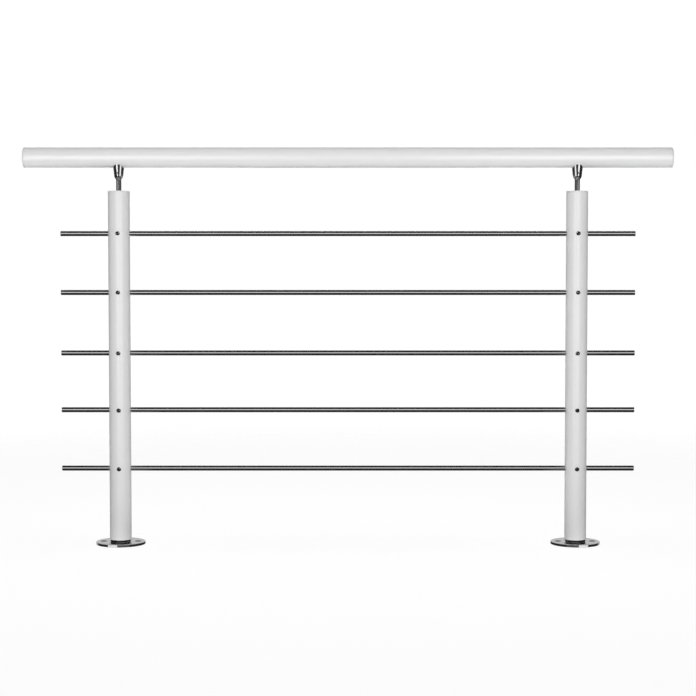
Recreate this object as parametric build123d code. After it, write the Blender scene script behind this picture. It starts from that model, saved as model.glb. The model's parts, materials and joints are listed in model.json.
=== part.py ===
from build123d import *
import math
import os

# A railing of two round posts on bolt-down flanges, five cross rods and a round handrail.
# Millimetres. The origin is the centre of the left flange's underside. +X runs along the
# railing to the right post, +Z is up, and the screws are on the -Y side.

# Layout
POST_SPACING = 1060.0
POST_TOP_HEIGHT = 820.0
HANDRAIL_GAP = 53.5
HANDRAIL_OVERHANG = 215.0
ROD_COUNT = 5
LOWEST_ROD_HEIGHT = 177.0
TOP_ROD_DROP = 98.0
MIDDLE_ROD_DROP = 4.0
ROD_OVERHANG = 135.0

# Tubes
POST_DIAMETER = 50.0
POST_WALL = 2.0
HANDRAIL_DIAMETER = 47.0
HANDRAIL_WALL = 2.0
ROD_DIAMETER = 12.0
ROD_WALL = 1.0

# Clearances, each on one side
PLUG_CLEARANCE = 0.15
PIN_CLEARANCE = 0.1
ROD_HOLE_CLEARANCE = 0.2
SCREW_CLEARANCE = 0.1
SEAT_CLEARANCE = 0.05

# Base flange
FLANGE_DIAMETER = 114.0
FLANGE_THICKNESS = 6.0
FLANGE_EDGE_RADIUS = 0.8
FLANGE_SKIN = 3.0
COLLAR_DIAMETER = 48.0
COLLAR_HEIGHT = 5.0
COLLAR_WALL = 6.0
BOLT_CIRCLE_DIAMETER = 80.0
BOLT_COUNT = 4
BOLT_HOLE_DIAMETER = 9.0
COUNTERSINK_DIAMETER = 15.0
COUNTERSINK_ANGLE = 90.0

# Foot that joins a post to its flange
FOOT_PLUG_LENGTH = 40.0
FOOT_FLOOR = 6.0
FOOT_WALL = 4.0

# Post cap
CAP_LIP = 3.0
CAP_EDGE_RADIUS = 1.0
CAP_PLUG_LENGTH = 22.0
CAP_PLUG_WALL = 2.0
CAP_BOSS_WALL = 5.0
CAP_BOSS_LENGTH = 32.0

# Handrail end cap
END_CAP_LIP = 5.0
END_CAP_EDGE_RADIUS = 2.5
END_CAP_PLUG_LENGTH = 20.0
END_CAP_PLUG_WALL = 2.0

# Handrail bracket
STEM_DIAMETER = 12.0
STEM_DEPTH = 30.0
STEM_VISIBLE = 26.0
HEAD_WIDTH = 25.4
HEAD_DEPTH = 36.7
HEAD_SHOULDER_WIDTH = 20.6
HEAD_SHOULDER_DEPTH = 24.0
HEAD_SHOULDER_RISE = 9.5
HEAD_POWER = 3.0
BRACKET_SCREW_RISE = 15.0

# Rod plug
ROD_PLUG_LENGTH = 10.0

# Button-head screw that clamps a rod in a post
BUTTON_DIAMETER = 10.0
BUTTON_HEIGHT = 3.0
BUTTON_EDGE = 0.7
BUTTON_BULGE = 0.35
BUTTON_FLAT_DIAMETER = 4.4
BUTTON_SHANK_DIAMETER = 5.0
BUTTON_SOCKET_FLATS = 3.0
BUTTON_SOCKET_DEPTH = 1.8

# Set screws: one in each bracket head and one in each flange collar
BRACKET_SCREW_DIAMETER = 4.0
BRACKET_SCREW_LENGTH = 6.0
BRACKET_SCREW_SOCKET_FLATS = 2.0
COLLAR_SCREW_DIAMETER = 3.0
COLLAR_SCREW_SOCKET_FLATS = 1.5
SET_SCREW_SOCKET_DEPTH = 1.6
SET_SCREW_RECESS = 0.5

# Worked out from the values above
POST_RADIUS = POST_DIAMETER / 2
POST_BORE_RADIUS = POST_RADIUS - POST_WALL
HANDRAIL_RADIUS = HANDRAIL_DIAMETER / 2
HANDRAIL_BORE_RADIUS = HANDRAIL_RADIUS - HANDRAIL_WALL
HANDRAIL_LENGTH = POST_SPACING + 2 * HANDRAIL_OVERHANG
HANDRAIL_AXIS_HEIGHT = POST_TOP_HEIGHT + HANDRAIL_GAP + HANDRAIL_RADIUS
ROD_RADIUS = ROD_DIAMETER / 2
ROD_LENGTH = POST_SPACING + 2 * ROD_OVERHANG
ROD_PITCH = (POST_TOP_HEIGHT - TOP_ROD_DROP - LOWEST_ROD_HEIGHT) / (ROD_COUNT - 1)
COLLAR_RADIUS = COLLAR_DIAMETER / 2
COLLAR_BORE_RADIUS = COLLAR_RADIUS - COLLAR_WALL
COLLAR_TOP = FLANGE_THICKNESS + COLLAR_HEIGHT
POST_TUBE_TOP = POST_TOP_HEIGHT - CAP_LIP
MIDDLE_X = POST_SPACING / 2
POST_X = {"left": 0.0, "right": POST_SPACING}
OUTWARD = {"left": -1, "right": 1}
BOTTOM = (Align.CENTER, Align.CENTER, Align.MIN)
TOP = (Align.CENTER, Align.CENTER, Align.MAX)


def rod_height(number):
    """Height of a rod's axis. Rod 1 is the lowest."""
    height = LOWEST_ROD_HEIGHT + (number - 1) * ROD_PITCH
    if 2 * number == ROD_COUNT + 1:
        height -= MIDDLE_ROD_DROP
    return height


def tube(outer_radius, inner_radius, length):
    """A tube that stands on the XY plane."""
    outside = Cylinder(outer_radius, length, align=BOTTOM)
    inside = Cylinder(inner_radius, length, align=BOTTOM)
    return outside - inside


def along_x(shape):
    """Turn a shape that stands on +Z so that it points along +X."""
    return Rot(0, 90, 0) * shape


def facing_front(shape):
    """Turn a shape that stands on +Z so that it points along -Y."""
    return Rot(90, 0, 0) * shape


def hex_socket(flats, depth):
    """A hexagonal pocket that reaches down from the XY plane."""
    return extrude(RegularPolygon(flats / math.sqrt(3), 6), amount=-depth)


def post_tube(post_x):
    """A post with a hole in each side for every rod, and a screw hole in front of it."""
    length = POST_TUBE_TOP - COLLAR_TOP
    post = Pos(0, 0, COLLAR_TOP) * tube(POST_RADIUS, POST_BORE_RADIUS, length)
    rod_hole = along_x(Cylinder(ROD_RADIUS + ROD_HOLE_CLEARANCE, 2 * POST_DIAMETER))
    screw_hole_radius = BUTTON_SHANK_DIAMETER / 2 + SCREW_CLEARANCE
    screw_hole = facing_front(Cylinder(screw_hole_radius, POST_DIAMETER, align=BOTTOM))
    for number in range(1, ROD_COUNT + 1):
        height = rod_height(number)
        post -= Pos(0, 0, height) * rod_hole
        post -= Pos(0, 0, height) * screw_hole
    return Pos(post_x, 0, 0) * post


def post_foot(post_x):
    """A plug in the post's lower end, with a pin that stands in the flange's collar."""
    plug_radius = POST_BORE_RADIUS - PLUG_CLEARANCE
    pin_radius = COLLAR_BORE_RADIUS - PIN_CLEARANCE
    pin_length = COLLAR_TOP - FLANGE_SKIN - PIN_CLEARANCE
    plug = Cylinder(plug_radius, FOOT_PLUG_LENGTH, align=BOTTOM)
    pin = Cylinder(pin_radius, pin_length, align=TOP)
    hollow = Cylinder(plug_radius - FOOT_WALL, FOOT_PLUG_LENGTH, align=BOTTOM)
    foot = plug + pin - Pos(0, 0, FOOT_FLOOR) * hollow
    return Pos(post_x, 0, COLLAR_TOP) * foot


def post_cap(post_x):
    """The lid of a post, with a plug in the tube and a boss that holds the bracket's stem."""
    lid = Cylinder(POST_RADIUS, CAP_LIP, align=BOTTOM)
    lid = fillet(lid.edges().group_by(Axis.Z)[-1], CAP_EDGE_RADIUS)
    bore_radius = STEM_DIAMETER / 2 + PIN_CLEARANCE
    plug_radius = POST_BORE_RADIUS - PLUG_CLEARANCE
    plug = tube(plug_radius, plug_radius - CAP_PLUG_WALL, CAP_PLUG_LENGTH)
    boss = Cylinder(bore_radius + CAP_BOSS_WALL, CAP_BOSS_LENGTH, align=TOP)
    bore = Cylinder(bore_radius, 2 * (CAP_BOSS_LENGTH + CAP_LIP))
    cap = lid + Pos(0, 0, -CAP_PLUG_LENGTH) * plug + boss - bore
    return Pos(post_x, 0, POST_TUBE_TOP) * cap


def base_flange(post_x):
    """A round plate with countersunk bolt holes and a short collar for the post's foot."""
    plate = Cylinder(FLANGE_DIAMETER / 2, FLANGE_THICKNESS, align=BOTTOM)
    plate = fillet(plate.edges().group_by(Axis.Z)[-1], FLANGE_EDGE_RADIUS)
    flange = plate + Cylinder(COLLAR_RADIUS, COLLAR_TOP, align=BOTTOM)
    flange -= Pos(0, 0, FLANGE_SKIN) * Cylinder(COLLAR_BORE_RADIUS, COLLAR_TOP, align=BOTTOM)
    bolt_hole = Cylinder(BOLT_HOLE_DIAMETER / 2, FLANGE_THICKNESS, align=BOTTOM)
    widening = (COUNTERSINK_DIAMETER - BOLT_HOLE_DIAMETER) / 2
    sink_depth = widening / math.tan(math.radians(COUNTERSINK_ANGLE / 2))
    sink = Cone(BOLT_HOLE_DIAMETER / 2, COUNTERSINK_DIAMETER / 2, sink_depth, align=TOP)
    bolt_hole += Pos(0, 0, FLANGE_THICKNESS) * sink
    for index in range(BOLT_COUNT):
        turn = Rot(0, 0, index * 360 / BOLT_COUNT)
        flange -= turn * Pos(BOLT_CIRCLE_DIAMETER / 2, 0, 0) * bolt_hole
    screw_hole = Cylinder(COLLAR_SCREW_DIAMETER / 2 + SCREW_CLEARANCE, COLLAR_RADIUS, align=BOTTOM)
    flange -= Pos(0, 0, collar_screw_height()) * facing_front(screw_hole)
    return Pos(post_x, 0, 0) * flange


def collar_screw_height():
    """Height of the set screw in a flange's collar."""
    return FLANGE_THICKNESS + COLLAR_HEIGHT / 2


def set_screw(diameter, length, socket_flats):
    """A headless screw that hangs down from the XY plane, with a socket in its upper end."""
    screw = Cylinder(diameter / 2, length, align=TOP)
    return screw - hex_socket(socket_flats, SET_SCREW_SOCKET_DEPTH)


def collar_screw(post_x):
    """The set screw that holds a post's foot in the collar."""
    length = COLLAR_WALL - SET_SCREW_RECESS
    screw = facing_front(set_screw(COLLAR_SCREW_DIAMETER, length, COLLAR_SCREW_SOCKET_FLATS))
    return Pos(post_x, SET_SCREW_RECESS - COLLAR_RADIUS, collar_screw_height()) * screw


def head_top_outline():
    """The upper outline of a bracket's head, between an ellipse and a rectangle."""
    points = []
    for step in range(24):
        angle = math.radians(step * 15)
        across = math.copysign(abs(math.cos(angle)) ** (2 / HEAD_POWER), math.cos(angle))
        deep = math.copysign(abs(math.sin(angle)) ** (2 / HEAD_POWER), math.sin(angle))
        points.append((across * HEAD_WIDTH / 2, deep * HEAD_DEPTH / 2))
    return make_face(Spline(points, periodic=True))


def head_height():
    """Height of the head's sides before the handrail's shape is cut from them."""
    return HANDRAIL_AXIS_HEIGHT - HANDRAIL_RADIUS / 2 - POST_TOP_HEIGHT - STEM_VISIBLE


def bracket_screw_front():
    """Where the front of the head's set screw lies, along Y."""
    share = (BRACKET_SCREW_RISE - HEAD_SHOULDER_RISE) / (head_height() - HEAD_SHOULDER_RISE)
    half_depth = (HEAD_SHOULDER_DEPTH + share * (HEAD_DEPTH - HEAD_SHOULDER_DEPTH)) / 2
    return SET_SCREW_RECESS - half_depth


def handrail_bracket(post_x):
    """A stem in the post's cap that widens to a head shaped to the handrail's underside."""
    stem_radius = STEM_DIAMETER / 2
    head_base = POST_TOP_HEIGHT + STEM_VISIBLE
    stem_length = STEM_DEPTH + STEM_VISIBLE
    stem = Pos(0, 0, POST_TOP_HEIGHT - STEM_DEPTH) * Cylinder(stem_radius, stem_length, align=BOTTOM)
    shoulder_width = HEAD_SHOULDER_WIDTH / 2
    shoulder_depth = HEAD_SHOULDER_DEPTH / 2
    throat = Ellipse((stem_radius + shoulder_width) / 2, (stem_radius + shoulder_depth) / 2)
    shoulder = Pos(0, 0, HEAD_SHOULDER_RISE) * Ellipse(shoulder_width, shoulder_depth)
    neck = loft([Circle(stem_radius), Pos(0, 0, HEAD_SHOULDER_RISE / 2) * throat, shoulder])
    sides = loft([shoulder, Pos(0, 0, head_height()) * head_top_outline()])
    head = Pos(0, 0, head_base) * (neck + sides)
    bracket = stem + head
    seat = Cylinder(HANDRAIL_RADIUS + SEAT_CLEARANCE, 2 * HEAD_DEPTH)
    bracket -= Pos(0, 0, HANDRAIL_AXIS_HEIGHT) * along_x(seat)
    hole_radius = BRACKET_SCREW_DIAMETER / 2 + SCREW_CLEARANCE
    hole = facing_front(Cylinder(hole_radius, HEAD_DEPTH, align=BOTTOM))
    hole_floor = bracket_screw_front() + BRACKET_SCREW_LENGTH + SEAT_CLEARANCE
    bracket -= Pos(0, hole_floor, head_base + BRACKET_SCREW_RISE) * hole
    return Pos(post_x, 0, 0) * bracket


def bracket_screw(post_x):
    """The set screw in the front of a bracket's head."""
    screw = set_screw(BRACKET_SCREW_DIAMETER, BRACKET_SCREW_LENGTH, BRACKET_SCREW_SOCKET_FLATS)
    height = POST_TOP_HEIGHT + STEM_VISIBLE + BRACKET_SCREW_RISE
    return Pos(post_x, bracket_screw_front(), height) * facing_front(screw)


def handrail_tube():
    """The handrail without its end caps."""
    rail = along_x(tube(HANDRAIL_RADIUS, HANDRAIL_BORE_RADIUS, HANDRAIL_LENGTH))
    return Pos(MIDDLE_X - HANDRAIL_LENGTH / 2, 0, HANDRAIL_AXIS_HEIGHT) * rail


def handrail_end_cap(side):
    """A rounded lid with a hollow plug in the handrail's end."""
    lid = Cylinder(HANDRAIL_RADIUS, END_CAP_LIP, align=BOTTOM)
    lid = fillet(lid.edges().group_by(Axis.Z)[-1], END_CAP_EDGE_RADIUS)
    plug_radius = HANDRAIL_BORE_RADIUS - PLUG_CLEARANCE
    plug = tube(plug_radius, plug_radius - END_CAP_PLUG_WALL, END_CAP_PLUG_LENGTH)
    cap = along_x(lid + Pos(0, 0, -END_CAP_PLUG_LENGTH) * plug)
    if side == "left":
        cap = Rot(0, 0, 180) * cap
    end_x = MIDDLE_X + OUTWARD[side] * HANDRAIL_LENGTH / 2
    return Pos(end_x, 0, HANDRAIL_AXIS_HEIGHT) * cap


def cross_rod(number):
    """A tube that runs through both posts."""
    rod = along_x(tube(ROD_RADIUS, ROD_RADIUS - ROD_WALL, ROD_LENGTH))
    return Pos(-ROD_OVERHANG, 0, rod_height(number)) * rod


def rod_end_plug(side, number):
    """A plug that closes a rod's end and lies flush with it."""
    plug_radius = ROD_RADIUS - ROD_WALL - PIN_CLEARANCE
    plug = along_x(Cylinder(plug_radius, ROD_PLUG_LENGTH))
    middle = MIDDLE_X + OUTWARD[side] * (ROD_LENGTH - ROD_PLUG_LENGTH) / 2
    return Pos(middle, 0, rod_height(number)) * plug


def rod_screw(post_x, number):
    """A button-head screw from the post's front to the rod inside it."""
    head_radius = BUTTON_DIAMETER / 2
    flat_radius = BUTTON_FLAT_DIAMETER / 2
    rim = (head_radius, BUTTON_EDGE)
    flat = (flat_radius, BUTTON_HEIGHT)
    crown_radius = (head_radius + flat_radius) / 2 + BUTTON_BULGE
    crown = (crown_radius, (BUTTON_EDGE + BUTTON_HEIGHT) / 2 + BUTTON_BULGE)
    profile = Polyline(rim, (head_radius, 0), (0, 0), (0, BUTTON_HEIGHT), flat)
    profile += ThreePointArc(rim, crown, flat)
    head = revolve(Plane.XZ * make_face(profile), axis=Axis.Z)
    shank_length = POST_RADIUS - ROD_RADIUS - SEAT_CLEARANCE
    shank = Cylinder(BUTTON_SHANK_DIAMETER / 2, shank_length, align=TOP)
    socket = Pos(0, 0, BUTTON_HEIGHT) * hex_socket(BUTTON_SOCKET_FLATS, BUTTON_SOCKET_DEPTH)
    screw = head + shank - socket
    return Pos(post_x, -POST_RADIUS - SEAT_CLEARANCE / 2, rod_height(number)) * facing_front(screw)


def railing():
    """Every piece of the railing by name."""
    pieces = {"handrail_tube": handrail_tube()}
    for side, post_x in POST_X.items():
        pieces[f"handrail_end_cap_{side}"] = handrail_end_cap(side)
        pieces[f"handrail_bracket_{side}"] = handrail_bracket(post_x)
        pieces[f"bracket_set_screw_{side}"] = bracket_screw(post_x)
        pieces[f"post_{side}"] = post_tube(post_x)
        pieces[f"post_cap_{side}"] = post_cap(post_x)
        pieces[f"post_foot_{side}"] = post_foot(post_x)
        pieces[f"base_flange_{side}"] = base_flange(post_x)
        pieces[f"collar_set_screw_{side}"] = collar_screw(post_x)
        for number in range(1, ROD_COUNT + 1):
            pieces[f"rod_screw_{side}_{number}"] = rod_screw(post_x, number)
            pieces[f"rod_end_plug_{side}_{number}"] = rod_end_plug(side, number)
    for number in range(1, ROD_COUNT + 1):
        pieces[f"cross_rod_{number}"] = cross_rod(number)
    return pieces


os.makedirs("parts", exist_ok=True)
for name, piece in railing().items():
    export_step(piece, f"parts/{name}.step")
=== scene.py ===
import bmesh
import bpy
import json
import math
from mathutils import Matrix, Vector


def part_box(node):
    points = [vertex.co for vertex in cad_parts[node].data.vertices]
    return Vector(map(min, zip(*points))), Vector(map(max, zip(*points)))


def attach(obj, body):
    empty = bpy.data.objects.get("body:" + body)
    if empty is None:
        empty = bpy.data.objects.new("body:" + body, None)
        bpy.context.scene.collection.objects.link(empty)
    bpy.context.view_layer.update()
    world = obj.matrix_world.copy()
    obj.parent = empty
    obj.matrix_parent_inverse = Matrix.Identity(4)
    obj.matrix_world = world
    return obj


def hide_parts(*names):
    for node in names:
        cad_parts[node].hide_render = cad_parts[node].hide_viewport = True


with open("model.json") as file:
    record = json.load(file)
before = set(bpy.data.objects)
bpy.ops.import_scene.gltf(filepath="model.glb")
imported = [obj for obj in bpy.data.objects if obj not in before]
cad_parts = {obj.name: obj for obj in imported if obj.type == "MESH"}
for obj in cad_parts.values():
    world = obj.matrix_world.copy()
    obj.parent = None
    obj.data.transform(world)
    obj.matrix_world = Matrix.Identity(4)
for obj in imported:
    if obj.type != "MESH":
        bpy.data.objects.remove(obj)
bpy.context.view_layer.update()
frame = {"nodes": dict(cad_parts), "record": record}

# Places and sizes read from the frame, in metres
left_post_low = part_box("post_left")[0]
right_post_low, right_post_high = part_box("post_right")
rail_low, rail_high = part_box("handrail_tube")
middle_x = (left_post_low.x + right_post_high.x) / 2
POST_OFFSET = (right_post_low.x - left_post_low.x) / 2
RAIL_HEIGHT = (rail_low.z + rail_high.z) / 2
RAIL_RADIUS = (rail_high.z - rail_low.z) / 2
SIDES = {"left": -1, "right": 1}
ROD_NUMBERS = range(1, 6)

# The material slot of each node, and the object that shows it
SLOT_OF = {row["node"]: row["material_slot"] for row in frame["record"]["subparts"]}
COAT_SLOTS = ("white_powder_coat", "white_plastic")
dressed = {}

# Sizes that the frame's boxes don't show, in metres, as in the CAD model
TUBE_WALL = 0.002
ROD_WALL = 0.001
PLUG_CLEARANCE = 0.00015
SCREW_CLEARANCE = 0.0001
SEAT_CLEARANCE = 0.00005
ROD_HOLE_RADIUS = 0.0062
SCREW_HOLE_RADIUS = 0.0026
STEM_RADIUS = 0.006
STEM_BORE_RADIUS = 0.0061
STEM_VISIBLE = 0.026
CAP_PLUG_LENGTH = 0.022
PLATE_THICKNESS = 0.006
PLATE_EDGE = 0.0008
COLLAR_RADIUS = 0.024
COLLAR_WALL = 0.006
BOLT_COUNT = 4
BOLT_CIRCLE_RADIUS = 0.040
BOLT_HOLE_RADIUS = 0.0045
COUNTERSINK_RADIUS = 0.0075
BUTTON_HEIGHT = 0.003
BUTTON_RIM = 0.0007
BUTTON_FLAT_RADIUS = 0.0022
BUTTON_BULGE = 0.0003
BUTTON_SHANK_RADIUS = 0.0025
BUTTON_SOCKET_FLATS = 0.003
BUTTON_SOCKET_DEPTH = 0.0018
SET_SCREW_SOCKET_DEPTH = 0.0016
BRACKET_SCREW_FLATS = 0.002
COLLAR_SCREW_FLATS = 0.0015

# Fine edges and seams
SEAM = 0.0002
SEAM_EDGE = 0.0001
CUT_EDGE = 0.0004
INNER_EDGE = 0.0005
ROD_EDGE = 0.0003
ROD_BORE_EDGE = 0.0001
COLLAR_EDGE = 0.0003
SHANK_EDGE = 0.0003
BUTTON_EDGE = 0.0002
POST_FOOT_EDGE = 0.0005
POST_CAP_EDGE = 0.001
END_CAP_EDGE = 0.0025
CAP_CROWN = 0.0006
CROWN_ROUNDING = 0.06
DIMPLE = 0.0004
DIMPLE_EDGE = 0.0002
SOCKET_EDGE = 0.0001

# Places on small faces, as shares of their radius, and a drop as a share of the crown
CROWN_MIDDLE = 0.5
CROWN_MIDDLE_DROP = 0.3
DIMPLE_FLOOR = 0.3
DIMPLE_RIM = 0.4
SET_SCREW_TIP_ROUND = 0.3
SET_SCREW_FACE_ROUND = 0.15
SET_SCREW_FACE = 0.8

# How finely turned forms and rounded corners are divided
RAIL_SEGMENTS = 128
FLANGE_SEGMENTS = 144
POST_SEGMENTS = 96
BRACKET_SEGMENTS = 96
FLOOR_SEGMENTS = 96
ROD_SEGMENTS = 64
SMALL_SEGMENTS = 48
SET_SCREW_SEGMENTS = 36
SCREW_HOLE_SEGMENTS = 32
CORNER_STEPS = 5
SMALL_CORNER_STEPS = 3
BUTTON_STEPS = 8

# Stations on tubes, and limits for a point on an axis, a straight corner and a sharp edge
STATION_STEP = 0.1
HOLE_MARGIN = 0.012
ON_AXIS = 1e-7
NEARLY_STRAIGHT = 0.01
SHARP_ANGLE = math.radians(40)

# Weight that lets large faces set the shading
LARGE_FACES_FIRST = 100

# The bracket's bell-shaped head
HEAD_BELL = 0.0042
HEAD_BELL_POWER = 1.75
HEAD_SWELL_WIDTH = 0.0035
HEAD_SWELL_DEPTH = 0.0046
HEAD_SLOPE_WIDTH = 0.086
HEAD_SLOPE_DEPTH = 0.19
HEAD_SQUARENESS = 0.8
HEAD_SQUARE_RISE = 0.028
HEAD_LIP = 0.0005
HEAD_LEVELS = 40
HEAD_LEVEL_POWER = 1.3
NECK_GAP = 0.002
SEAT_TRIES = 30
SADDLE_MIDDLE = 0.1

# Rings of the bracket's saddle: how far each lies inwards and below the handrail, in lips
SADDLE_RINGS = ((0.3, 0.3), (1.0, 0.0), (6.0, 0.0), (16.0, 0.0), (30.0, 0.0))

# Colours of the metals and the rods' plugs, each as the two ends of a faint pattern; and one colour each for
# the painted shade on the flanges' collars and in their bolt holes
STEEL_COLOURS = ((0.60, 0.60, 0.61), (0.68, 0.68, 0.69))
SCREW_COLOURS = ((0.30, 0.30, 0.31), (0.38, 0.38, 0.39))
ALUMINIUM_COLOURS = ((0.62, 0.62, 0.63), (0.72, 0.72, 0.73))
PLUG_COLOURS = ((0.16, 0.16, 0.165), (0.2, 0.2, 0.205))
COLLAR_PAINTED_SHADE = (0.26, 0.26, 0.265)
HOLE_PAINTED_SHADE = (0.10, 0.10, 0.105)

# On the flanges: the height that the collars' painted shade reaches, and the turning rings' scales out and
# up
COLLAR_ZONE_TOP = 3 * PLATE_THICKNESS
RING_SCALE = 1800.0
RING_HEIGHT_SCALE = 400.0

# Usual range of a noise pattern
PATTERN_LOW = 0.3
PATTERN_HIGH = 0.7

# Camera, as the photograph was taken
IMAGE_WIDTH = 696
FOCAL_PIXELS = 1620.0
SENSOR_WIDTH = 36.0
CAMERA_DISTANCE = 3.758
CAMERA_HEIGHT = 0.621
CAMERA_PITCH = math.radians(2.5)

# Studio
FLOOR_RADIUS = 4.0
FLOOR_HEIGHT = -0.0005
FLOOR_GLOW = 0.90
FADE_START = 0.35 * FLOOR_RADIUS
FADE_END = 0.95 * FLOOR_RADIUS
ROOM_GLOW = 0.03
BACKDROP_GLOW = 1.02
STRIP_REACH = 2.2
BACK_STRIP_SHARE = 0.45
PANEL_DISTANCE = 2.8
AIM_ASIDE = 0.001
COAT_AIM_HEIGHT = 0.5
BOX_HEIGHTS = {"low": 0.35, "middle": 1.05, "high": 1.75}
COAT_GLOW = {
    "low": 4.9,
    "middle": 4.5,
    "high": 2.4,
    "side": 1.55,
    "top": 1.5,
    "bottom": 3.2,
}


def rod_axis(number):
    """Height of a cross rod's axis. Rod 1 is the lowest."""
    low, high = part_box(f"cross_rod_{number}")
    return (low.z + high.z) / 2


def new_material(name):
    """A node material, its Principled shader and its node tree."""
    material = bpy.data.materials.new(name)
    material.use_nodes = True
    shader = material.node_tree.nodes["Principled BSDF"]
    return material, shader, material.node_tree


def position(tree, scale=(1, 1, 1)):
    """The place on the surface in metres, scaled along each axis."""
    place = tree.nodes.new("ShaderNodeTexCoord")
    mapping = tree.nodes.new("ShaderNodeMapping")
    mapping.inputs["Scale"].default_value = scale
    tree.links.new(place.outputs["Object"], mapping.inputs["Vector"])
    return mapping.outputs["Vector"]


def noise(tree, vector, scale, detail=3.0, rough=0.5):
    """A noise pattern with a number of features in each metre."""
    node = tree.nodes.new("ShaderNodeTexNoise")
    node.inputs["Scale"].default_value = scale
    node.inputs["Detail"].default_value = detail
    node.inputs["Roughness"].default_value = rough
    tree.links.new(vector, node.inputs["Vector"])
    return node.outputs["Fac"]


def grain_noise(tree, vector, scale):
    """A fine, plain noise pattern."""
    return noise(tree, vector, scale, detail=2.0)


def line_noise(tree, vector):
    """A noise pattern with fine detail, for the lines of grinding and turning."""
    return noise(tree, vector, scale=1.0, detail=4.0, rough=0.6)


def spread(tree, value, low, high):
    """Map a pattern from its middle range to low and high."""
    node = tree.nodes.new("ShaderNodeMapRange")
    node.inputs["From Min"].default_value = PATTERN_LOW
    node.inputs["From Max"].default_value = PATTERN_HIGH
    node.inputs["To Min"].default_value = low
    node.inputs["To Max"].default_value = high
    tree.links.new(value, node.inputs["Value"])
    return node.outputs["Result"]


def tint(tree, value, first, second):
    """Mix two colours by a pattern."""
    node = tree.nodes.new("ShaderNodeMix")
    node.data_type = "RGBA"
    node.inputs["A"].default_value = (*first, 1)
    node.inputs["B"].default_value = (*second, 1)
    tree.links.new(value, node.inputs["Factor"])
    return node.outputs["Result"]


def tint_over(tree, mask, colour, other):
    """Put another colour over a pattern where a mask is one."""
    node = tree.nodes.new("ShaderNodeMix")
    node.data_type = "RGBA"
    node.inputs["B"].default_value = (*other, 1)
    tree.links.new(mask, node.inputs["Factor"])
    tree.links.new(colour, node.inputs["A"])
    return node.outputs["Result"]


def bump(tree, value, height):
    """Raise the surface by a pattern, height in metres."""
    node = tree.nodes.new("ShaderNodeBump")
    node.inputs["Distance"].default_value = height
    tree.links.new(value, node.inputs["Height"])
    return node.outputs["Normal"]


def calc(tree, operation, first, second=0.0):
    """Arithmetic on two numbers or node outputs."""
    node = tree.nodes.new("ShaderNodeMath")
    node.operation = operation
    for socket, value in zip(node.inputs, (first, second)):
        if isinstance(value, (int, float)):
            socket.default_value = value
        else:
            tree.links.new(value, socket)
    return node.outputs["Value"]


def distance(tree, first, second):
    """Length of a line with these two legs."""
    first_square = calc(tree, "MULTIPLY", first, first)
    second_square = calc(tree, "MULTIPLY", second, second)
    return calc(tree, "SQRT", calc(tree, "ADD", first_square, second_square))


def distance_from(tree, value, middle):
    """How far a value lies from a middle, to either side."""
    return calc(tree, "ABSOLUTE", calc(tree, "SUBTRACT", value, middle))


def finish_with(tree, shader, colour, roughness, height=None, depth=0.0):
    """Connect a finish's colour, roughness and fine relief to its shader."""
    tree.links.new(colour, shader.inputs["Base Color"])
    tree.links.new(roughness, shader.inputs["Roughness"])
    if height is not None:
        tree.links.new(bump(tree, height, depth), shader.inputs["Normal"])


def grey(value):
    """A neutral colour."""
    return (value, value, value)


def powder_coat():
    """Satin white powder coat with a fine orange-peel skin."""
    material, shader, tree = new_material("white_powder_coat")
    place = position(tree)
    colour = tint(tree, noise(tree, place, scale=9.0), grey(0.80), grey(0.83))
    roughness = spread(tree, noise(tree, place, scale=60.0), low=0.285, high=0.325)
    peel = grain_noise(tree, place, scale=650.0)
    finish_with(tree, shader, colour, roughness, peel, depth=0.00003)
    return material


def cap_plastic():
    """Slightly greyer moulded plastic of the end caps."""
    material, shader, tree = new_material("white_plastic")
    place = position(tree)
    colour = tint(tree, noise(tree, place, scale=30.0), grey(0.75), grey(0.79))
    roughness = spread(tree, noise(tree, place, scale=120.0), low=0.34, high=0.46)
    grain = grain_noise(tree, place, scale=1500.0)
    finish_with(tree, shader, colour, roughness, grain, depth=0.00002)
    return material


def plug_plastic():
    """Grey moulded plastic of the plugs in the rods' ends."""
    material, shader, tree = new_material("grey_plastic")
    place = position(tree)
    grain = grain_noise(tree, place, scale=1800.0)
    colour = tint(tree, grain, *PLUG_COLOURS)
    roughness = spread(tree, noise(tree, place, scale=300.0), low=0.45, high=0.6)
    finish_with(tree, shader, colour, roughness, grain, depth=0.00002)
    return material


def steel(name, colours, roughness, grain_scale, grain_depth):
    """Stainless steel with fine lines from grinding and polishing."""
    material, shader, tree = new_material(name)
    shader.inputs["Metallic"].default_value = 1.0
    lines = line_noise(tree, position(tree, grain_scale))
    colour = tint(tree, noise(tree, position(tree), scale=14.0), *colours)
    finish_with(tree, shader, colour, spread(tree, lines, *roughness), lines, grain_depth)
    return material


def ground_steel():
    """Steel of the cross rods, with fine lines along them."""
    return steel(
        "ground_steel",
        colours=STEEL_COLOURS,
        roughness=(0.06, 0.10),
        grain_scale=(12, 2600, 2600),
        grain_depth=0.0000004,
    )


def screw_steel():
    """Darker steel of the screws, with a fine grain."""
    return steel(
        "screw_steel",
        colours=SCREW_COLOURS,
        roughness=(0.10, 0.16),
        grain_scale=(1500, 1500, 1500),
        grain_depth=0.000001,
    )


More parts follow.
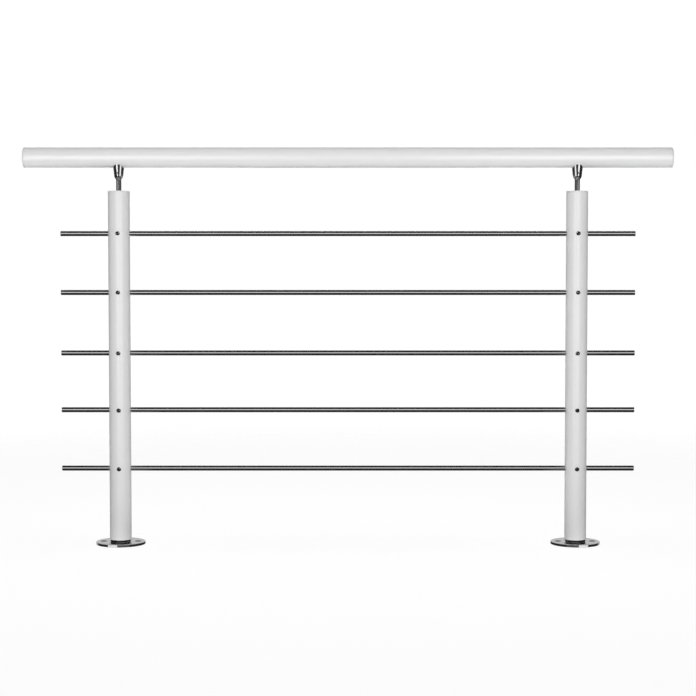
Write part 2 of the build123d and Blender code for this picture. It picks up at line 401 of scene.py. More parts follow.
def polished_steel():
    """Polished steel, turned in rings on the flanges, with painted shade on the collars and in the bolt
    holes.
    """
    material, shader, tree = new_material("polished_steel")
    shader.inputs["Metallic"].default_value = 1.0
    place = position(tree)
    split = tree.nodes.new("ShaderNodeSeparateXYZ")
    tree.links.new(place, split.inputs["Vector"])
    x, y, z = split.outputs
    across = distance_from(tree, distance_from(tree, x, middle_x), POST_OFFSET)
    deep = calc(tree, "ABSOLUTE", y)
    colour = tint(tree, noise(tree, place, scale=40.0), *STEEL_COLOURS)
    colour = paint_collar_and_hole_shade(tree, colour, across, deep, z)
    rings = line_noise(tree, ring_place(tree, across, deep, z))
    roughness = spread(tree, rings, low=0.05, high=0.11)
    finish_with(tree, shader, colour, roughness, rings, depth=0.000001)
    return material


def paint_collar_and_hole_shade(tree, colour, across, deep, z):
    """Paint shade on the flanges' collars and in their bolt holes, from the distances to the nearer post's
    axis.
    """
    on_plate = calc(tree, "LESS_THAN", z, PLATE_THICKNESS + SEAM)
    on_collar = calc(tree, "SUBTRACT", calc(tree, "LESS_THAN", z, COLLAR_ZONE_TOP), on_plate)
    far = calc(tree, "SUBTRACT", calc(tree, "MAXIMUM", across, deep), BOLT_CIRCLE_RADIUS)
    near = calc(tree, "MINIMUM", across, deep)
    near_bolt = calc(tree, "LESS_THAN", distance(tree, far, near), COUNTERSINK_RADIUS + 2 * SEAM)
    in_hole = calc(tree, "MULTIPLY", near_bolt, on_plate)
    # Painted shade: a darker colour on the collars and in the bolt holes, where shade falls
    colour = tint_over(tree, on_collar, colour, COLLAR_PAINTED_SHADE)
    return tint_over(tree, in_hole, colour, HOLE_PAINTED_SHADE)


def ring_place(tree, across, deep, z):
    """A place that only changes with the distance from a post's axis and the height."""
    reach = tree.nodes.new("ShaderNodeCombineXYZ")
    tree.links.new(calc(tree, "MULTIPLY", distance(tree, across, deep), RING_SCALE), reach.inputs["X"])
    tree.links.new(calc(tree, "MULTIPLY", z, RING_HEIGHT_SCALE), reach.inputs["Z"])
    return reach.outputs["Vector"]


def plain_aluminium():
    """Mill-finish aluminium of the hidden feet."""
    material, shader, tree = new_material("plain_aluminium")
    shader.inputs["Metallic"].default_value = 1.0
    lines = noise(tree, position(tree, scale=(300.0, 300.0, 2500.0)), scale=1.0)
    colour = tint(tree, lines, *ALUMINIUM_COLOURS)
    finish_with(tree, shader, colour, spread(tree, lines, low=0.3, high=0.45))
    return material


def make_finishes():
    """The material of each of the record's slots."""
    return {
        "white_powder_coat": powder_coat(),
        "white_plastic": cap_plastic(),
        "polished_steel": polished_steel(),
        "ground_steel": ground_steel(),
        "screw_steel": screw_steel(),
        "plain_aluminium": plain_aluminium(),
        "grey_plastic": plug_plastic(),
    }


def soften(corners, steps=CORNER_STEPS):
    """Round the corners of an outline. Each corner is (along, radius, rounding)."""
    points = [corners[0][:2]]
    for before, corner, after in zip(corners, corners[1:], corners[2:]):
        here = Vector(corner[:2])
        back = (Vector(before[:2]) - here).normalized()
        ahead = (Vector(after[:2]) - here).normalized()
        rounding = corner[2]
        half = back.angle(ahead) / 2
        if rounding == 0 or half > math.pi / 2 - NEARLY_STRAIGHT:
            points.append(corner[:2])
            continue
        middle = here + (back + ahead).normalized() * rounding / math.sin(half)
        start = (here + back * rounding / math.tan(half) - middle).normalized()
        end = (here + ahead * rounding / math.tan(half) - middle).normalized()
        for step in range(steps + 1):
            points.append(tuple(middle + start.slerp(end, step / steps) * rounding))
    points.append(corners[-1][:2])
    return points


def directions(axis):
    """A turning axis and the two directions across it."""
    if axis == "x":
        return Vector((1, 0, 0)), Vector((0, 1, 0)), Vector((0, 0, 1))
    if axis == "front":
        return Vector((0, -1, 0)), Vector((1, 0, 0)), Vector((0, 0, 1))
    return Vector((0, 0, 1)), Vector((1, 0, 0)), Vector((0, 1, 0))


def ring_at(place, axis, along, reaches):
    """Points around an axis, one for each reach, or a single one where nothing reaches out."""
    along_axis, first, second = directions(axis)
    middle = Vector(place) + along_axis * along
    if max(reaches) < ON_AXIS:
        return [middle]
    points = []
    for i, reach in enumerate(reaches):
        angle = 2 * math.pi * i / len(reaches)
        spoke = first * math.cos(angle) + second * math.sin(angle)
        points.append(middle + spoke * reach)
    return points


def join_rings(rings):
    """Faces between rings of vertex numbers. A ring of one vertex is a point on the axis."""
    faces = []
    for low, high in zip(rings, rings[1:]):
        count = max(len(low), len(high))
        for i in range(count):
            j = (i + 1) % count
            corners = [low[i % len(low)], low[j % len(low)], high[j % len(high)], high[i % len(high)]]
            faces.append(tuple(dict.fromkeys(corners)))
    return faces


def new_piece(name, rings, closed=False):
    """A smooth-shaded piece with outward faces, from rings of points. A closed one ends where it began."""
    points = []
    numbers = []
    for ring in rings:
        numbers.append(list(range(len(points), len(points) + len(ring))))
        points.extend(ring)
    if closed:
        numbers.append(numbers[0])
    mesh = bpy.data.meshes.new(name)
    mesh.from_pydata(points, [], join_rings(numbers))
    shape = bmesh.new()
    shape.from_mesh(mesh)
    bmesh.ops.recalc_face_normals(shape, faces=shape.faces)
    shape.to_mesh(mesh)
    shape.free()
    mesh.shade_smooth()
    piece = bpy.data.objects.new(name, mesh)
    bpy.context.scene.collection.objects.link(piece)
    return piece


def turned(name, outline, place, axis="z", segments=POST_SEGMENTS):
    """A form turned about an axis through a place, from its outline of (along, radius)."""
    rings = [ring_at(place, axis, along, [radius] * segments) for along, radius in outline]
    return new_piece(name, rings, closed=outline[0][1] > ON_AXIS)


def drill(name, place, axis, start, end, radius, segments=SCREW_HOLE_SEGMENTS):
    """A cylinder along an axis, to cut a round hole with."""
    outline = [(start, 0), (start, radius), (end, radius), (end, 0)]
    return turned(name, outline, place, axis, segments)


def set_screw_drill(name, screw_box, post_x, start, end):
    """A cylinder that points at -Y, to cut the hole of a set screw with."""
    low, high = screw_box
    radius = (high.x - low.x) / 2 + SCREW_CLEARANCE
    return drill(name, (post_x, 0, (low.z + high.z) / 2), "front", start, end, radius)


def even_shading(piece):
    """Shade long faces flat across their length and let only the small edge faces turn."""
    piece.data.set_sharp_from_angle(angle=SHARP_ANGLE)
    shading = piece.modifiers.new("even_shading", "WEIGHTED_NORMAL")
    shading.keep_sharp = True
    shading.weight = LARGE_FACES_FIRST
    return piece


def cut(piece, cutters):
    """Cut some forms out of a piece and delete them."""
    for cutter in cutters:
        hole = piece.modifiers.new("hole", "BOOLEAN")
        hole.operation = "DIFFERENCE"
        hole.solver = "MANIFOLD"
        hole.object = cutter
    seen = bpy.context.evaluated_depsgraph_get()
    whole = bpy.data.meshes.new_from_object(piece.evaluated_get(seen))
    piece.modifiers.clear()
    piece.data = whole
    for cutter in cutters:
        bpy.data.objects.remove(cutter)
    return piece


def dress(piece, node, finishes):
    """Let a piece stand for a CAD node, in the node's own finish."""
    slot = SLOT_OF[node]
    piece.data.materials.clear()
    piece.data.materials.append(finishes[slot])
    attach(piece, "root")
    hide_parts(node)
    dressed[node] = piece
    return piece


def tube_outline(low, high, wall, outer_edge, bore_edge):
    """Outline of a tube along X with softened ends, and stations that keep its outer faces short."""
    radius = (high.z - low.z) / 2
    bore = radius - wall
    count = round((high.x - low.x) / STATION_STEP)
    return [
        (middle_x, bore, 0),
        (low.x, bore, bore_edge),
        (low.x, radius, outer_edge),
        *((low.x + STATION_STEP * i, radius, 0) for i in range(1, count)),
        (high.x, radius, outer_edge),
        (high.x, bore, bore_edge),
        (middle_x + STATION_STEP, bore, 0),
    ]


def dress_handrail(finishes):
    """The handrail's tube, with softly rounded cut ends."""
    corners = tube_outline(rail_low, rail_high, TUBE_WALL, CUT_EDGE, CUT_EDGE)
    rail = turned("handrail", soften(corners), (0, 0, RAIL_HEIGHT), "x", RAIL_SEGMENTS)
    dress(even_shading(rail), "handrail_tube", finishes)


def dress_end_cap(word, side, finishes):
    """A handrail cap: a crowned lid with a soft edge, a fine seam and a hollow plug."""
    low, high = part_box(f"handrail_end_cap_{word}")
    tube_end = rail_low.x if side < 0 else rail_high.x
    outer_end = low.x if side < 0 else high.x
    inner_end = high.x if side < 0 else low.x
    lid = abs(outer_end - tube_end)
    plug_depth = abs(inner_end - tube_end)
    radius = (high.z - low.z) / 2
    plug = radius - TUBE_WALL - PLUG_CLEARANCE
    corners = [
        (lid, 0, 0),
        (lid - CAP_CROWN * CROWN_MIDDLE_DROP, radius * CROWN_MIDDLE, CROWN_ROUNDING),
        (lid - CAP_CROWN, radius, END_CAP_EDGE),
        (SEAM, radius, SEAM_EDGE),
        (SEAM, plug, 0),
        (-plug_depth, plug, INNER_EDGE),
        (-plug_depth, plug - TUBE_WALL, INNER_EDGE),
        (0, plug - TUBE_WALL, INNER_EDGE),
        (0, 0, 0),
    ]
    outline = [(side * along, across) for along, across in soften(corners)]
    place = (tube_end, 0, (low.z + high.z) / 2)
    cap = turned(f"end_cap_{word}", outline, place, "x", RAIL_SEGMENTS)
    dress(even_shading(cap), f"handrail_end_cap_{word}", finishes)


def dress_post(word, post_x, finishes):
    """A post's tube with its rod holes and screw holes."""
    low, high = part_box(f"post_{word}")
    radius = (high.x - low.x) / 2
    bore = radius - TUBE_WALL
    heights = [rod_axis(number) for number in ROD_NUMBERS]
    stations = sorted(height + step * HOLE_MARGIN for height in heights for step in (-1, 1))
    middle_z = (heights[0] + heights[1]) / 2
    inside = [(z, bore, 0) for z in reversed(stations)]
    corners = [(middle_z, bore, 0)]
    corners += [corner for corner in inside if corner[0] < middle_z]
    corners += [(low.z, bore, CUT_EDGE), (low.z, radius, POST_FOOT_EDGE)]
    corners += [(z, radius, 0) for z in stations]
    corners += [(high.z, radius, SEAM), (high.z, bore, 0)]
    corners += [corner for corner in inside if corner[0] > middle_z]
    post = turned(f"post_tube_{word}", soften(corners), (post_x, 0, 0))
    past = 2 * radius
    cutters = []
    for height in heights:
        place = (post_x, 0, height)
        cutters.append(drill("rod_hole", place, "x", -past, past, ROD_HOLE_RADIUS, SMALL_SEGMENTS))
        cutters.append(drill("screw_hole", place, "front", 0, past, SCREW_HOLE_RADIUS))
    dress(even_shading(cut(post, cutters)), f"post_{word}", finishes)


def dress_post_cap(word, post_x, finishes):
    """A post's lid with a soft edge, a fine seam, and a bore for the bracket's stem."""
    low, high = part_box(f"post_cap_{word}")
    tube_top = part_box(f"post_{word}")[1].z
    radius = (high.x - low.x) / 2
    plug = radius - TUBE_WALL - PLUG_CLEARANCE
    boss = STEM_BORE_RADIUS + TUBE_WALL
    corners = [
        (tube_top, STEM_BORE_RADIUS, 0),
        (high.z, STEM_BORE_RADIUS, CUT_EDGE),
        (high.z, radius, POST_CAP_EDGE),
        (tube_top + SEAM, radius, SEAM_EDGE),
        (tube_top + SEAM, plug, 0),
        (tube_top - CAP_PLUG_LENGTH, plug, INNER_EDGE),
        (tube_top - CAP_PLUG_LENGTH, plug - TUBE_WALL, INNER_EDGE),
        (tube_top - TUBE_WALL, plug - TUBE_WALL, INNER_EDGE),
        (tube_top - TUBE_WALL, boss, INNER_EDGE),
        (low.z, boss, INNER_EDGE),
        (low.z, STEM_BORE_RADIUS, 0),
    ]
    cap = turned(f"post_lid_{word}", soften(corners), (post_x, 0, 0))
    dress(even_shading(cap), f"post_cap_{word}", finishes)


def dress_rod(number, finishes):
    """A cross rod: a thin tube with lightly broken ends."""
    low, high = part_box(f"cross_rod_{number}")
    corners = tube_outline(low, high, ROD_WALL, ROD_EDGE, ROD_BORE_EDGE)
    outline = soften(corners, SMALL_CORNER_STEPS)
    rod = turned(f"rod_{number}", outline, (0, 0, rod_axis(number)), "x", ROD_SEGMENTS)
    dress(even_shading(rod), f"cross_rod_{number}", finishes)


def dress_rod_plug(word, side, number, finishes):
    """A plug in a rod's end, with a rounded rim and a small dimple in its middle."""
    low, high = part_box(f"rod_end_plug_{word}_{number}")
    outer_end = low.x if side < 0 else high.x
    length = high.x - low.x
    radius = (high.z - low.z) / 2
    corners = [
        (-DIMPLE, 0, 0),
        (-DIMPLE, radius * DIMPLE_FLOOR, DIMPLE_EDGE),
        (0, radius * DIMPLE_RIM, DIMPLE_EDGE),
        (0, radius, DIMPLE),
        (-length, radius, 0),
        (-length, 0, 0),
    ]
    outline = [(side * along, across) for along, across in soften(corners, SMALL_CORNER_STEPS)]
    place = (outer_end, 0, rod_axis(number))
    plug = turned(f"rod_plug_{word}_{number}", outline, place, "x", SMALL_SEGMENTS)
    dress(even_shading(plug), f"rod_end_plug_{word}_{number}", finishes)


def hexagon_radius(flats, angle):
    """Distance from the middle of a hexagon to its edge in a direction."""
    turn = angle % math.radians(60) - math.radians(30)
    return flats / 2 / math.cos(turn)


def socket_screw(name, place, outline, flats, depth, segments=SMALL_SEGMENTS):
    """A screw that points at -Y: from its hidden end to its face, and down its hexagonal socket."""
    face = outline[-1][0]
    angles = [2 * math.pi * i / segments for i in range(segments)]
    levels = [(along, [radius] * segments) for along, radius in outline]
    socket = ((face, flats + 4 * SOCKET_EDGE), (face - SOCKET_EDGE, flats), (face - depth, flats))
    for along, width in socket:
        levels.append((along, [hexagon_radius(width, angle) for angle in angles]))
    levels.append((face - depth - flats / 4, [0]))
    return new_piece(name, [ring_at(place, "front", along, reaches) for along, reaches in levels])


def dress_rod_screw(word, post_x, number, finishes):
    """A button-head screw in a post's front, with a crowned head and a hexagonal socket."""
    low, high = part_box(f"rod_screw_{word}_{number}")
    head_radius = (high.x - low.x) / 2
    shank = BUTTON_HEIGHT - (high.y - low.y)
    corners = [
        (shank, 0, 0),
        (shank, BUTTON_SHANK_RADIUS, SHANK_EDGE),
        (0, BUTTON_SHANK_RADIUS, 0),
        (0, head_radius, SEAM_EDGE),
        (BUTTON_RIM, head_radius, BUTTON_EDGE),
        (BUTTON_HEIGHT, BUTTON_FLAT_RADIUS, 0),
    ]
    outline = soften(corners, SMALL_CORNER_STEPS)[:-1]
    rise = BUTTON_HEIGHT - BUTTON_RIM
    reach = head_radius - BUTTON_FLAT_RADIUS
    for step in range(1, BUTTON_STEPS + 1):
        share = step / BUTTON_STEPS
        bulge = BUTTON_BULGE * math.sin(math.pi * share)
        along = BUTTON_RIM + rise * share + bulge
        outline.append((along, head_radius - reach * share + bulge * rise / reach))
    place = (post_x, low.y + BUTTON_HEIGHT, (low.z + high.z) / 2)
    name = f"button_screw_{word}_{number}"
    screw = socket_screw(name, place, outline, BUTTON_SOCKET_FLATS, BUTTON_SOCKET_DEPTH)
    dress(even_shading(screw), f"rod_screw_{word}_{number}", finishes)


def dress_set_screw(node, name, post_x, flats, finishes):
    """A headless screw that lies a little below the surface around it."""
    low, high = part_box(node)
    radius = (high.x - low.x) / 2
    length = high.y - low.y
    corners = [
        (-length, 0, 0),
        (-length, radius, radius * SET_SCREW_TIP_ROUND),
        (0, radius, radius * SET_SCREW_FACE_ROUND),
        (0, radius * SET_SCREW_FACE, 0),
    ]
    outline = soften(corners, SMALL_CORNER_STEPS)
    place = (post_x, low.y, (low.z + high.z) / 2)
    screw = socket_screw(name, place, outline, flats, SET_SCREW_SOCKET_DEPTH, SET_SCREW_SEGMENTS)
    dress(even_shading(screw), node, finishes)


def bolt_drills(post_x):
    """Forms to cut a flange's countersunk bolt holes with, each with a small lip at the top."""
    sink = COUNTERSINK_RADIUS - BOLT_HOLE_RADIUS
    lip_radius = COUNTERSINK_RADIUS + 2 * SEAM
    outline = [
        (-sink, 0),
        (-sink, BOLT_HOLE_RADIUS),
        (PLATE_THICKNESS - sink, BOLT_HOLE_RADIUS),
        (PLATE_THICKNESS - SEAM, COUNTERSINK_RADIUS - SEAM),
        (PLATE_THICKNESS + SEAM, lip_radius),
        (PLATE_THICKNESS + sink, lip_radius),
        (PLATE_THICKNESS + sink, 0),
    ]
    drills = []
    for index in range(BOLT_COUNT):
        angle = 2 * math.pi * index / BOLT_COUNT
        x = post_x + BOLT_CIRCLE_RADIUS * math.cos(angle)
        y = BOLT_CIRCLE_RADIUS * math.sin(angle)
        drills.append(turned("bolt_hole", outline, (x, y, 0), "z", SMALL_SEGMENTS))
    return drills


def dress_flange(word, post_x, finishes):
    """A base flange: a plate with a soft rim and bolt holes, and a low collar around the post's foot."""
    low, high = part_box(f"base_flange_{word}")
    radius = (high.x - low.x) / 2
    corners = [
        (0, 0, 0),
        (0, radius, CUT_EDGE),
        (PLATE_THICKNESS, radius, PLATE_EDGE),
        (PLATE_THICKNESS, COLLAR_RADIUS, COLLAR_EDGE),
        (high.z, COLLAR_RADIUS, COLLAR_EDGE),
        (high.z, COLLAR_RADIUS - COLLAR_WALL, COLLAR_EDGE),
        (PLATE_THICKNESS / 2, COLLAR_RADIUS - COLLAR_WALL, 0),
        (PLATE_THICKNESS / 2, 0, 0),
    ]
    flange = turned(f"flange_{word}", soften(corners), (post_x, 0, 0), "z", FLANGE_SEGMENTS)
    cutters = bolt_drills(post_x)
    screw_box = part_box(f"collar_set_screw_{word}")
    cutters.append(set_screw_drill("collar_hole", screw_box, post_x, 0, radius))
    dress(even_shading(cut(flange, cutters)), f"base_flange_{word}", finishes)


def head_section(rise):
    """Half width, half depth and squareness of a bracket's head at a height over its base, in metres."""
    bell = 1 - math.exp(-((rise / HEAD_BELL) ** HEAD_BELL_POWER))
    half_width = STEM_RADIUS + HEAD_SWELL_WIDTH * bell + HEAD_SLOPE_WIDTH * rise
    half_depth = STEM_RADIUS + HEAD_SWELL_DEPTH * bell + HEAD_SLOPE_DEPTH * rise
    power = 2 + HEAD_SQUARENESS * min(1, rise / HEAD_SQUARE_RISE)
    return half_width, half_depth, power


def head_point(angle, rise):
    """A point on the outline of a bracket's head."""
    half_width, half_depth, power = head_section(rise)
    across = math.copysign(abs(math.cos(angle)) ** (2 / power), math.cos(angle)) * half_width
    deep = math.copysign(abs(math.sin(angle)) ** (2 / power), math.sin(angle)) * half_depth
    return across, deep


def seat_height(deep):
    """Height of the saddle under the handrail, at a distance in front of or behind its axis."""
    seat_radius = RAIL_RADIUS + SEAT_CLEARANCE
    return RAIL_HEIGHT - math.sqrt(seat_radius ** 2 - deep ** 2)


def head_top(angle, head_base):
    """How far a bracket's head rises at an angle until it meets the handrail."""
    rise = seat_height(0) - head_base
    for _ in range(SEAT_TRIES):
        rise = seat_height(head_point(angle, rise)[1]) - head_base
    return rise


def bracket_rings(stem_foot, head_base):
    """Rings of a bracket around the post's axis: its stem, its head, and its saddle from the lip inwards."""
    angles = [2 * math.pi * i / BRACKET_SEGMENTS for i in range(BRACKET_SEGMENTS)]
    tops = [(angle, head_top(angle, head_base)) for angle in angles]
    rings = [[(0, 0, stem_foot)]]
    for z in (stem_foot, head_base - STEM_VISIBLE / 2, head_base - NECK_GAP):
        rings.append([(STEM_RADIUS * math.cos(a), STEM_RADIUS * math.sin(a), z) for a in angles])
    for level in range(1, HEAD_LEVELS + 1):
        share = (level / HEAD_LEVELS) ** HEAD_LEVEL_POWER
        ring = []
        for angle, top in tops:
            rise = share * (top - HEAD_LIP)
            ring.append((*head_point(angle, rise), head_base + rise))
        rings.append(ring)
    for inset, drop in SADDLE_RINGS:
        ring = []
        for angle, top in tops:
            x, y = head_point(angle, top)
            keep = max(SADDLE_MIDDLE, 1 - inset * HEAD_LIP / math.hypot(x, y))
            ring.append((x * keep, y * keep, seat_height(y * keep) - drop * HEAD_LIP))
        rings.append(ring)
    rings.append([(0, 0, seat_height(0))])
    return rings


def dress_bracket(word, post_x, finishes):
    """A handrail bracket: a stem that opens like a bell into a saddle under the tube."""
    node = f"handrail_bracket_{word}"
    stem_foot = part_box(node)[0].z
    head_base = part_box(f"post_cap_{word}")[1].z + STEM_VISIBLE
    rings = []
    for ring in bracket_rings(stem_foot, head_base):
        rings.append([Vector((post_x + x, y, z)) for x, y, z in ring])
    bracket = new_piece(f"bracket_{word}", rings)
    screw_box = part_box(f"bracket_set_screw_{word}")
    hole_end = -screw_box[1].y
    cutter = set_screw_drill("head_hole", screw_box, post_x, hole_end, 2 * STEM_VISIBLE)
    dress(even_shading(cut(bracket, [cutter])), node, finishes)


def dress_nodes(finishes):
    """Give every node the material of its slot, and put finer pieces over all but the hidden feet."""
    for node, slot in SLOT_OF.items():
        carried = frame["nodes"][node]
        carried.data.materials.clear()
        carried.data.materials.append(finishes[slot])
        dressed[node] = carried
    dress_handrail(finishes)
    for number in ROD_NUMBERS:
        dress_rod(number, finishes)
    for word, side in SIDES.items():
        post_x = middle_x + side * POST_OFFSET
        dress_end_cap(word, side, finishes)
        dress_post(word, post_x, finishes)
        dress_post_cap(word, post_x, finishes)
        dress_bracket(word, post_x, finishes)
        dress_flange(word, post_x, finishes)
        for node, name, flats in (
            (f"bracket_set_screw_{word}", f"head_screw_{word}", BRACKET_SCREW_FLATS),
            (f"collar_set_screw_{word}", f"collar_screw_{word}", COLLAR_SCREW_FLATS),
        ):
            dress_set_screw(node, name, post_x, flats, finishes)
        for number in ROD_NUMBERS:
            dress_rod_screw(word, post_x, number, finishes)
            dress_rod_plug(word, side, number, finishes)


def add_floor():
    """A plain pale floor, evenly lit, that fades into the white background."""
    place = (middle_x, 0, FLOOR_HEIGHT)
    bpy.ops.mesh.primitive_circle_add(
        vertices=FLOOR_SEGMENTS, radius=FLOOR_RADIUS, fill_type="NGON", location=place
    )
    floor = bpy.context.object
    floor.name = "floor"
    material, shader, tree = new_material("pale_floor")
    mottle = noise(tree, position(tree), scale=3.0)
    tree.links.new(tint(tree, mottle, grey(0.40), grey(0.42)), shader.inputs["Base Color"])
    shader.inputs["Roughness"].default_value = 0.9
    shader.inputs["Specular IOR Level"].default_value = 0.0
    shader.inputs["Emission Color"].default_value = (1, 1, 1, 1)
    shader.inputs["Emission Strength"].default_value = FLOOR_GLOW
    fade_floor(tree, shader)
    floor.data.materials.append(material)
    floor.visible_glossy = False
    floor.visible_diffuse = False
    floor.visible_shadow = False


def fade_floor(tree, shader):
    """Let the floor's edge melt away, so that no horizon shows."""
    length = tree.nodes.new("ShaderNodeVectorMath")
    length.operation = "LENGTH"
    tree.links.new(position(tree), length.inputs[0])
    fade = tree.nodes.new("ShaderNodeMapRange")
    fade.interpolation_type = "SMOOTHSTEP"
    fade.inputs["From Min"].default_value = FADE_START
    fade.inputs["From Max"].default_value = FADE_END
    tree.links.new(length.outputs["Value"], fade.inputs["Value"])
    clear = tree.nodes.new("ShaderNodeBsdfTransparent")
    mix = tree.nodes.new("ShaderNodeMixShader")
    tree.links.new(fade.outputs["Result"], mix.inputs["Fac"])
    tree.links.new(shader.outputs["BSDF"], mix.inputs[1])
    tree.links.new(clear.outputs["BSDF"], mix.inputs[2])
    output = tree.nodes["Material Output"]
    tree.links.new(mix.outputs["Shader"], output.inputs["Surface"])


def area_light(name, place, target, size, glow, diffuse=True, gloss=True, only_on=None):
    """A soft rectangular light that looks at a point. Glow is its brightness seen directly."""
    data = bpy.data.lights.new(name, "AREA")
    data.shape = "RECTANGLE"
    data.size, data.size_y = size
    data.energy = glow * math.pi * size[0] * size[1]
    light = bpy.data.objects.new(name, data)
    bpy.context.scene.collection.objects.link(light)
    light.location = place
    light.rotation_euler = (Vector(target) - Vector(place)).to_track_quat("-Z", "Y").to_euler()
    light.visible_camera = False
    light.visible_diffuse = diffuse
    light.visible_glossy = gloss
    if only_on is not None:
        light.light_linking.receiver_collection = only_on


def pieces_of(slots, word=""):
    """A group of pieces for a light: those of some material slots whose node names hold a word."""
    group = bpy.data.collections.new("_".join((*slots, word)))
    for node, slot in SLOT_OF.items():
        if slot in slots and word in node:
            group.objects.link(dressed[node])
    return group


def add_coat_lights():
    """Soft boxes around the railing, for the white pieces and the highlights on their fronts."""
    coat = pieces_of(COAT_SLOTS)
    for front in (-1, 1):
        for word, side in SIDES.items():
            aim = (middle_x + side * POST_OFFSET, 0, COAT_AIM_HEIGHT)
            for name, height in BOX_HEIGHTS.items():
                area_light(
                    f"{name}_box_{word}_{front}",
                    place=(middle_x + side * 0.9, front * 2.6, height),
                    target=aim,
                    size=(1.2, 0.7),
                    glow=COAT_GLOW[name],
                    gloss=front < 0,
                    only_on=coat,
                )
            area_light(
                f"side_box_{word}_{front}",
                place=(middle_x + side * 2.4, front * 1.2, 0.7),
                target=aim,
                size=(1.2, 1.8),
                glow=COAT_GLOW["side"],
                gloss=False,
                only_on=coat,
            )


def overhead_light(name, height, size, glow, gloss=True, only_on=None):
    """A broad light above or below the railing's middle, aimed a hair aside so that its turn is defined."""
    place = (middle_x, 0, height)
    area_light(name, place, (middle_x, AIM_ASIDE, 0), size, glow, gloss=gloss, only_on=only_on)


def add_fill_lights():
    """Broad lights above and below for the handrail's upper and lower sides."""
    size = (2.6, 1.6)
    overhead_light("top_light", height=3.0, size=size, glow=COAT_GLOW["top"], gloss=False)
    overhead_light("low_light", height=-2.0, size=size, glow=COAT_GLOW["bottom"], gloss=False)


def add_rail_lights():
    """Tall panels that draw the broad highlight along the handrail, stronger towards its ends."""
    rail = pieces_of(COAT_SLOTS, "handrail")
    middle_width = 1.0
    for front in (-1, 1):
        for side, width, glow in ((-1, 1.3, 1.8), (0, middle_width, 0.9), (1, 1.3, 1.8)):
            x = middle_x + side * (width + middle_width) / 2
            area_light(
                f"rail_panel_{side}_{front}",
                place=(x, front * 2.6, 0.4),
                target=(x, 0, 0.4),
                size=(width, 3.0),
                glow=glow,
                diffuse=False,
                only_on=rail,
            )
        for name, y, z in (("high", 2.2, 3.4), ("low", 1.0, -2.4)):
            area_light(
                f"rail_{name}_{front}",
                place=(middle_x, front * y, z),
                target=(middle_x, 0, 0.9),
                size=(3.4, 1.4),
                glow=0.8,
                diffuse=False,
                only_on=rail,
            )


def add_foot_lights():
    """The light that each polished flange throws up on its post's lower end."""
    for word, side in SIDES.items():
        post_x = middle_x + side * POST_OFFSET
        post = pieces_of(("white_powder_coat",), f"post_{word}")
        for front in (-1, 1):
            area_light(
                f"foot_light_{word}_{front}",
                place=(post_x, front * 0.034, PLATE_THICKNESS + 0.001),
                target=(post_x, front * 0.025, PLATE_THICKNESS + 0.010),
                size=(0.05, 0.006),
                glow=0.4,
                gloss=False,
                only_on=post,
            )


def add_cap_lights():
    """A soft light beyond each end of the handrail, for the end caps' faces."""
    caps = pieces_of(("white_plastic",))
    for word, side in SIDES.items():
        area_light(
            f"cap_light_{word}",
            place=(middle_x + side * 3.2, 0, 0.9),
            target=(middle_x, 0, 0.9),
            size=(1.2, 1.2),
            glow=3.0,
            gloss=False,
            only_on=caps,
        )


def upright_panel(name, y, height, size, glow, only_on, x=0):
    """A panel that stands upright and faces the railing at its own height."""
    area_light(name, (middle_x + x, y, height), (middle_x, 0, height), size, glow, only_on=only_on)


def add_rod_lights():
    """A panel in front and one behind that the cross rods show as a thin light line."""
    rods = pieces_of(("ground_steel", "grey_plastic"))
    for front in (-1, 1):
        y = front * PANEL_DISTANCE
        upright_panel(f"rod_panel_{front}", y, height=0.85, size=(8.0, 1.7), glow=1.0, only_on=rods)


def add_flange_walls(flanges):
    """Grey walls all around, and what lies above and low in front, as the flanges reflect them."""
    size = (5.0, 1.4)
    upright_panel("grey_wall", PANEL_DISTANCE, height=0.4, size=size, glow=0.58, only_on=flanges)
    for name, x, y, width in (
        ("front", 0, -3.0, 6.0),
        ("left", -4.0, 0, 5.0),
        ("right", 4.0, 0, 5.0),
        ("back", 0, 3.0, 6.0),
    ):
        size = (width, 2.0)
        upright_panel(f"{name}_wall", y, height=1.9, size=size, glow=0.45, only_on=flanges, x=x)
    overhead_light("flange_sky", height=3.2, size=(6.0, 6.0), glow=0.4, only_on=flanges)
    size = (0.7, 0.6)
    upright_panel("low_panel", -PANEL_DISTANCE, height=0.05, size=size, glow=1.2, only_on=flanges)


def add_steel_walls():
    """A sky over all steel but the rods, a dim wall in front of it, and the flanges' own walls."""
    every_steel = pieces_of(("polished_steel", "plain_aluminium", "screw_steel"))
    overhead_light("sky_panel", height=3.0, size=(3.0, 2.0), glow=0.4, only_on=every_steel)
    flanges = pieces_of(("polished_steel",), "flange")
    brackets = pieces_of(("polished_steel",), "bracket")
    screws = pieces_of(("screw_steel",))
    for name, group, glow in (
        ("flange", flanges, 0.10),
        ("bracket", brackets, 0.04),
        ("screw", screws, 0.10),
    ):
        size = (5.0, 2.4)
        upright_panel(f"dim_wall_{name}", -PANEL_DISTANCE, height=0.4, size=size, glow=glow, only_on=group)
    add_flange_walls(flanges)


def strip(name, post_x, turn, height, size, glow, only_on):
    """A light that a post's steel sees at an angle from the front, with its middle at a height."""
    place = (post_x + STRIP_REACH * math.sin(turn), -STRIP_REACH * math.cos(turn), height)
    area_light(name, place, (post_x, 0, height), size, glow, only_on=only_on)


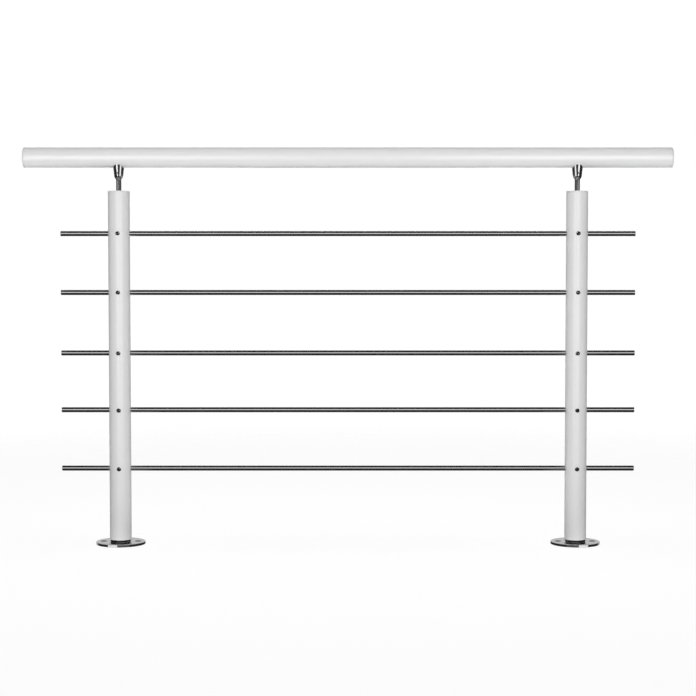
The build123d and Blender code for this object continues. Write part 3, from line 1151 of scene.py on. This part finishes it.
def add_post_lights(word, side):
    """The strips that draw light stripes on a post's bracket, flange and screws, in front and behind."""
    post_x = middle_x + side * POST_OFFSET
    bracket = pieces_of(("polished_steel",), f"bracket_{word}")
    flange = pieces_of(("polished_steel",), f"flange_{word}")
    screws = pieces_of(("screw_steel",), word)
    for front, share in ((1, 1.0), (-1, BACK_STRIP_SHARE)):
        for name, turn, height, size, glow, group in (
            ("stem_outer", 30, 0.95, (0.40, 0.4), 2.2, bracket),
            ("stem_inner", -58, 0.95, (0.60, 0.4), 0.4, bracket),
            ("head_outer", 17, -0.1, (0.62, 1.3), 1.6, bracket),
            ("head_inner", -50, -0.1, (1.6, 1.3), 1.4, bracket),
            ("rim", 32, -0.48, (1.84, 0.46), 1.1, flange),
            ("dot", -46, 1.65, (0.7, 0.9), 9.0, screws),
        ):
            angle = math.radians(side * turn if front > 0 else 180 - side * turn)
            strip(f"{name}_{word}_{front}", post_x, angle, height, size, glow * share, group)


def even_light(tree, strength):
    """White light of one strength from every side."""
    node = tree.nodes.new("ShaderNodeBackground")
    node.inputs["Color"].default_value = (1, 1, 1, 1)
    node.inputs["Strength"].default_value = strength
    return node.outputs["Background"]


def add_world():
    """White behind everything, and a nearly dark room for reflections."""
    world = bpy.data.worlds.new("studio")
    bpy.context.scene.world = world
    world.use_nodes = True
    tree = world.node_tree
    tree.nodes.clear()
    output = tree.nodes.new("ShaderNodeOutputWorld")
    light_path = tree.nodes.new("ShaderNodeLightPath")
    mix = tree.nodes.new("ShaderNodeMixShader")
    tree.links.new(light_path.outputs["Is Camera Ray"], mix.inputs["Fac"])
    tree.links.new(even_light(tree, ROOM_GLOW), mix.inputs[1])
    tree.links.new(even_light(tree, BACKDROP_GLOW), mix.inputs[2])
    tree.links.new(mix.outputs["Shader"], output.inputs["Surface"])


def add_camera():
    """The camera at the photograph's place, a little above the railing's middle."""
    data = bpy.data.cameras.new("camera")
    data.sensor_width = SENSOR_WIDTH
    data.lens = FOCAL_PIXELS * SENSOR_WIDTH / IMAGE_WIDTH
    camera = bpy.data.objects.new("camera", data)
    bpy.context.scene.collection.objects.link(camera)
    camera.location = (middle_x, -CAMERA_DISTANCE, CAMERA_HEIGHT)
    camera.rotation_euler = (math.pi / 2 - CAMERA_PITCH, 0, 0)
    bpy.context.scene.camera = camera


dress_nodes(make_finishes())
add_floor()
add_coat_lights()
add_fill_lights()
add_rail_lights()
add_foot_lights()
add_cap_lights()
add_rod_lights()
add_steel_walls()
for side_word, side_sign in SIDES.items():
    add_post_lights(side_word, side_sign)
add_world()
add_camera()
bpy.context.scene.view_settings.view_transform = "Standard"
